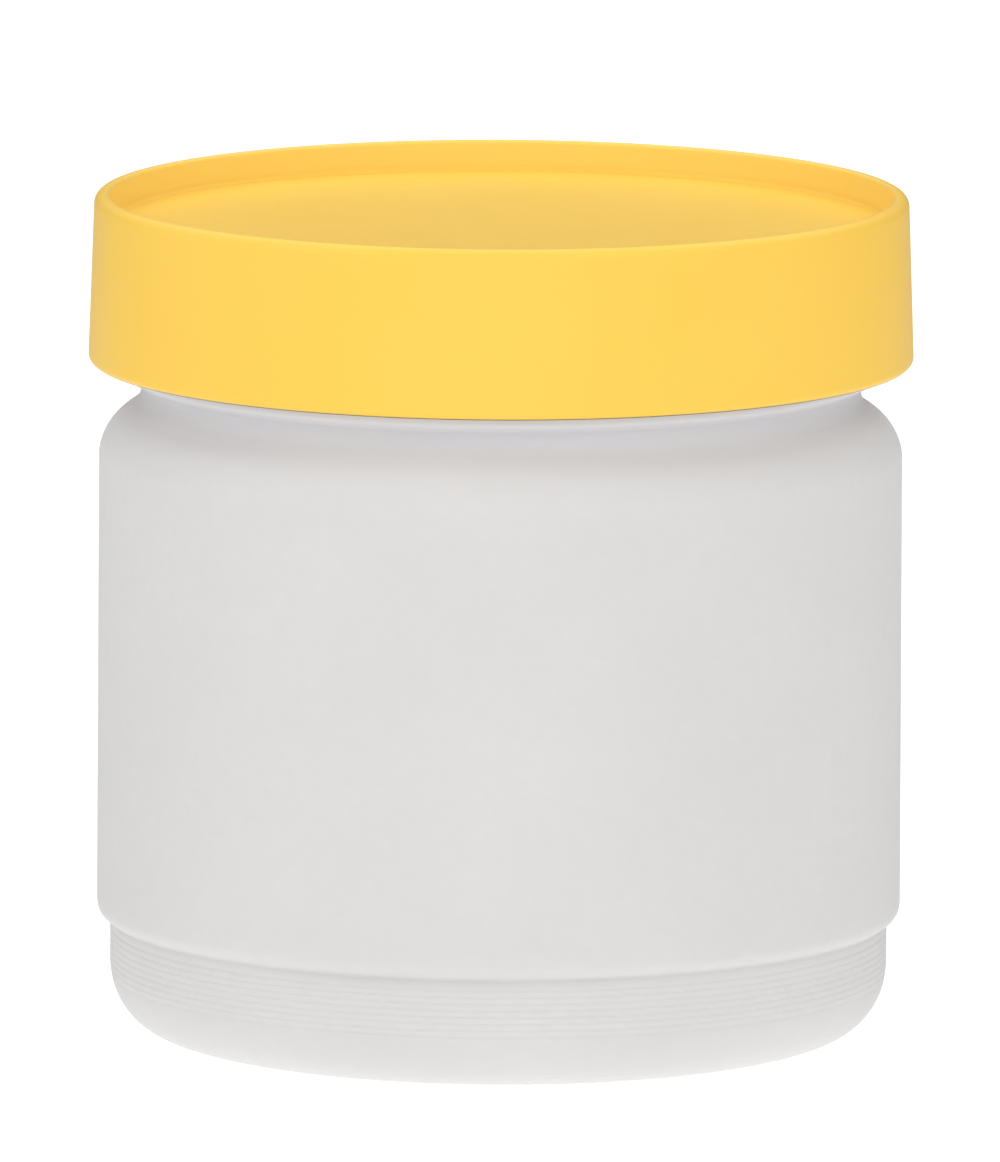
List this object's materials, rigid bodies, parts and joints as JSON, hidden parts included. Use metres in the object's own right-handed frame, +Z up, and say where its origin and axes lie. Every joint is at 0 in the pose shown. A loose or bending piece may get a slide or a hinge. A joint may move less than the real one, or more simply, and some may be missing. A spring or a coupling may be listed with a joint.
{
  "type": "paint jar",
  "caption": "Round wide-mouth plastic paint jar, frosted white, with a ribbed stepped foot, round shoulder and a yellow screw lid with a recessed stacking top and a sealing disc.",
  "frame": {"origin": "centre of the plane that the foot rests on", "axes": "+Z up along the jar's turning axis, from the foot to the lid; +X and +Y are any two directions square to it"},
  "size_m": [0.0926, 0.0926, 0.0946],
  "materials": {
    "frosted_white_plastic": "satin, slightly translucent moulded plastic",
    "liner_foam": "matt foamed sealing disc with a smooth film face",
    "yellow_plastic": "smooth semi-gloss moulded plastic"
  },
  "bodies": {
    "jar": {"jar_body": "frosted_white_plastic"},
    "liner": {"lid_liner": "liner_foam"},
    "lid": {"lid": "yellow_plastic"}
  },
  "joints": [
    {"name": "lid_rise", "type": "slide", "parent": "jar", "child": "liner", "axis": [0, 0, 1], "range_m": [0, 0.018]},
    {"name": "lid_turn", "type": "hinge", "parent": "liner", "child": "lid", "pos_m": [0, 0, 0.0763], "axis": [0, 0, 1], "range_deg": [0, 1260]}
  ],
  "couplings": [
    {"joint": "lid_rise", "follows": "lid_turn", "m_per_rad": 0.00080851}
  ]
}
